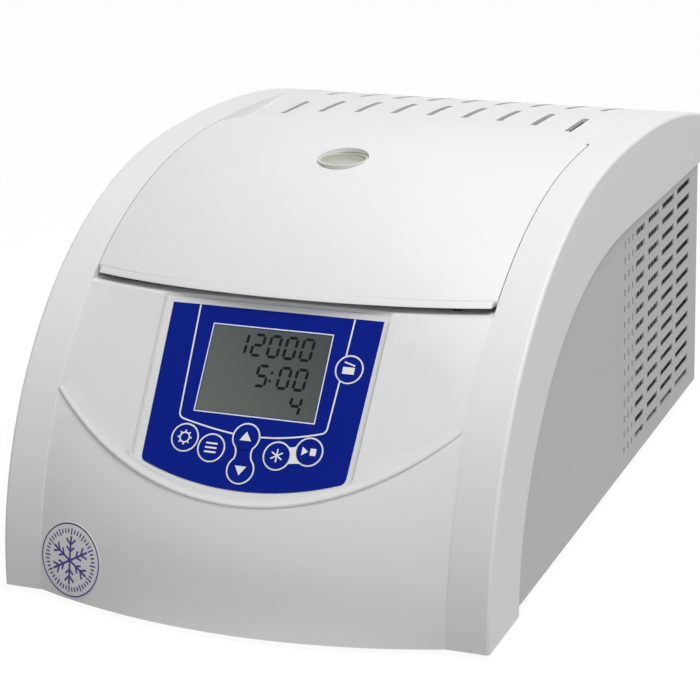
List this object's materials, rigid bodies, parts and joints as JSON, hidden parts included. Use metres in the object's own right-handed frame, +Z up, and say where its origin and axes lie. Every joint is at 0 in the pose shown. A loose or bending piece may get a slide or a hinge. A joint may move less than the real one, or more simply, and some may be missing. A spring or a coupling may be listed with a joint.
{
  "type": "refrigerated benchtop centrifuge",
  "caption": "Low benchtop refrigerated centrifuge with an arched moulded housing, hinged crowned lid, sloping key panel and slotted metal sides.",
  "frame": {"origin": "middle of the footprint, on the surface that the feet stand on", "axes": "+X to the right as seen from the front, +Y to the rear, +Z up; the control panel faces -Y"},
  "size_m": [0.353, 0.561, 0.2707],
  "materials": {
    "housing_plastic": "satin",
    "casing_paint": "satin",
    "rubber_black": "matte",
    "rubber_grey": "matte",
    "bowl_steel": "brushed",
    "copper_tone": "satin",
    "foam_cream": "matte",
    "rotor_alloy": "satin",
    "black_plastic": "satin",
    "black_paint": "satin",
    "liner_plastic": "satin",
    "sight_glass": "clear",
    "bezel_plastic": "satin",
    "foil_blue": "satin",
    "key_cream": "satin",
    "display_glass": "clear",
    "display_back": "matte",
    "board_green": "satin",
    "fin_alloy": "satin",
    "brass_pins": "polished",
    "badge_blue": "gloss"
  },
  "bodies": {
    "housing": {"front_cover": "housing_plastic", "side_cover": "casing_paint", "base_plate": "casing_paint", "feet": "rubber_black", "chamber_bowl": "bowl_steel", "chamber_seal": "rubber_grey", "cooling_jacket": "copper_tone", "chamber_foam": "foam_cream", "chamber_posts": "bowl_steel", "motor_plate": "bowl_steel", "motor_dampers": "rubber_black", "motor_housing": "rotor_alloy", "motor_bearings": "bowl_steel", "motor_winding": "copper_tone", "hinge_pins": "bowl_steel", "hinge_stands": "bowl_steel", "lock_boxes": "black_plastic", "control_bezel": "bezel_plastic", "keypad_foil": "foil_blue", "display_window": "display_glass", "display_module": "display_back", "control_board": "board_green", "compressor": "black_paint", "compressor_grommets": "rubber_black", "condenser": "fin_alloy", "fan_shroud": "black_plastic", "fan_pin": "bowl_steel", "filter_drier": "copper_tone", "suction_line": "copper_tone", "liquid_line": "copper_tone", "power_board": "board_green", "heat_sink": "fin_alloy", "board_parts": "black_plastic", "power_inlet": "black_plastic", "inlet_pins": "brass_pins", "switch_frame": "black_plastic", "casing_screws": "bowl_steel", "badge": "badge_blue"},
    "lid": {"lid_shell": "housing_plastic", "lid_liner": "liner_plastic", "lid_window": "sight_glass", "lid_window_frame": "liner_plastic", "lid_hinge_arms": "bowl_steel", "lid_strikers": "bowl_steel"},
    "rotor": {"drive_shaft": "bowl_steel", "motor_armature": "bowl_steel", "rotor_body": "rotor_alloy", "rotor_lid": "rotor_alloy", "rotor_knob": "black_plastic"},
    "fan": {"cooling_fan": "black_plastic"},
    "lock_left": {"lock_bolt_left": "bowl_steel"},
    "lock_right": {"lock_bolt_right": "bowl_steel"},
    "rocker": {"mains_rocker": "black_plastic"},
    "key_set_cap": {"key_set": "key_cream"},
    "key_program_cap": {"key_program": "key_cream"},
    "key_up_cap": {"key_up": "key_cream"},
    "key_down_cap": {"key_down": "key_cream"},
    "key_precool_cap": {"key_precool": "key_cream"},
    "key_start_cap": {"key_start": "key_cream"},
    "key_lid_cap": {"key_lid": "key_cream"}
  },
  "joints": [
    {"name": "lid_hinge", "type": "hinge", "parent": "housing", "child": "lid", "pos_m": [0, 0.1185, 0.238], "axis": [-1, 0, 0], "range_deg": [0, 72]},
    {"name": "rotor_spin", "type": "hinge", "parent": "housing", "child": "rotor", "pos_m": [0, -0.0445, 0.135], "axis": [0, 0, 1], "continuous": true},
    {"name": "fan_spin", "type": "hinge", "parent": "housing", "child": "fan", "pos_m": [0.119, 0.1615, 0.099], "axis": [1, 0, 0], "continuous": true},
    {"name": "lock_left_slide", "type": "slide", "parent": "housing", "child": "lock_left", "axis": [-1, 0, 0], "range_m": [0, 0.012]},
    {"name": "lock_right_slide", "type": "slide", "parent": "housing", "child": "lock_right", "axis": [1, 0, 0], "range_m": [0, 0.012]},
    {"name": "rocker_tilt", "type": "hinge", "parent": "housing", "child": "rocker", "pos_m": [-0.08, 0.276, 0.049], "axis": [1, 0, 0], "range_deg": [-8, 8]},
    {"name": "key_set_press", "type": "slide", "parent": "housing", "child": "key_set_cap", "axis": [0, 0.7934, -0.6088], "range_m": [0, 0.0005], "stiffness_N_per_m": 400},
    {"name": "key_program_press", "type": "slide", "parent": "housing", "child": "key_program_cap", "axis": [0, 0.7934, -0.6088], "range_m": [0, 0.0005], "stiffness_N_per_m": 400},
    {"name": "key_up_press", "type": "slide", "parent": "housing", "child": "key_up_cap", "axis": [0, 0.7934, -0.6088], "range_m": [0, 0.0005], "stiffness_N_per_m": 400},
    {"name": "key_down_press", "type": "slide", "parent": "housing", "child": "key_down_cap", "axis": [0, 0.7934, -0.6088], "range_m": [0, 0.0005], "stiffness_N_per_m": 400},
    {"name": "key_precool_press", "type": "slide", "parent": "housing", "child": "key_precool_cap", "axis": [0, 0.7934, -0.6088], "range_m": [0, 0.0005], "stiffness_N_per_m": 400},
    {"name": "key_start_press", "type": "slide", "parent": "housing", "child": "key_start_cap", "axis": [0, 0.7934, -0.6088], "range_m": [0, 0.0005], "stiffness_N_per_m": 400},
    {"name": "key_lid_press", "type": "slide", "parent": "housing", "child": "key_lid_cap", "axis": [0, 0.7934, -0.6088], "range_m": [0, 0.0005], "stiffness_N_per_m": 400}
  ],
  "couplings": [
    {"joint": "lock_right_slide", "follows": "lock_left_slide", "ratio": 1}
  ]
}
